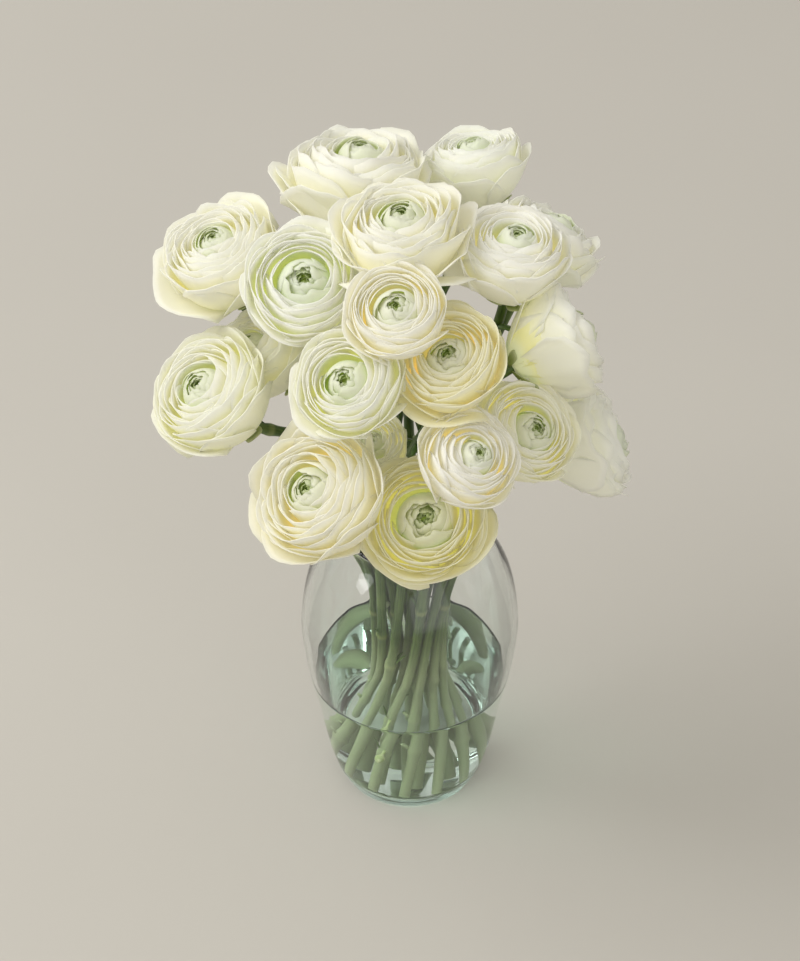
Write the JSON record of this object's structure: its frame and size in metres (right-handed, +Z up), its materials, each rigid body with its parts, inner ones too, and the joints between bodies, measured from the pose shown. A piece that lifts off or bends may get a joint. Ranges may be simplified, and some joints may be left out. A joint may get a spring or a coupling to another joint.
{
  "type": "ranunculus bouquet in a glass vase",
  "caption": "Cut ranunculus flowers with pale layered heads on green stems, standing in water in a barrel-shaped clear glass vase.",
  "frame": {"origin": "middle of the flat underside of the vase, on the surface it stands on", "axes": "+Z up along the vase's axis; most of the flowers lean towards -Y, the side the bouquet shows"},
  "size_m": [0.2717, 0.246, 0.4661],
  "materials": {
    "glass": "clear blown glass, faintly green in the thick foot",
    "water": "still clear water, a little green from the stems",
    "stem": "fresh green herbaceous stem, satin",
    "petals": "ivory petal, satin and slightly translucent",
    "heart": "furled pale green petals, satin"
  },
  "bodies": {
    "root": {"vase": "glass", "water": "water", "stem_01": "stem", "stem_02": "stem", "stem_03": "stem", "stem_04": "stem", "stem_05": "stem", "stem_06": "stem", "stem_07": "stem", "stem_08": "stem", "stem_09": "stem", "stem_10": "stem", "stem_11": "stem", "stem_12": "stem", "stem_13": "stem", "stem_14": "stem", "stem_15": "stem", "stem_16": "stem", "stem_17": "stem", "stem_18": "stem", "stem_19": "stem", "petals_01": "petals", "petals_02": "petals", "petals_03": "petals", "petals_04": "petals", "petals_05": "petals", "petals_06": "petals", "petals_07": "petals", "petals_08": "petals", "petals_09": "petals", "petals_10": "petals", "petals_11": "petals", "petals_12": "petals", "petals_13": "petals", "petals_14": "petals", "petals_15": "petals", "petals_16": "petals", "petals_17": "petals", "petals_18": "petals", "petals_19": "petals", "heart_01": "heart", "heart_02": "heart", "heart_03": "heart", "heart_04": "heart", "heart_05": "heart", "heart_06": "heart", "heart_07": "heart", "heart_08": "heart", "heart_09": "heart", "heart_10": "heart", "heart_11": "heart", "heart_12": "heart", "heart_13": "heart", "heart_14": "heart", "heart_15": "heart", "heart_16": "heart", "heart_17": "heart", "heart_18": "heart", "heart_19": "heart"}
  },
  "joints": []
}
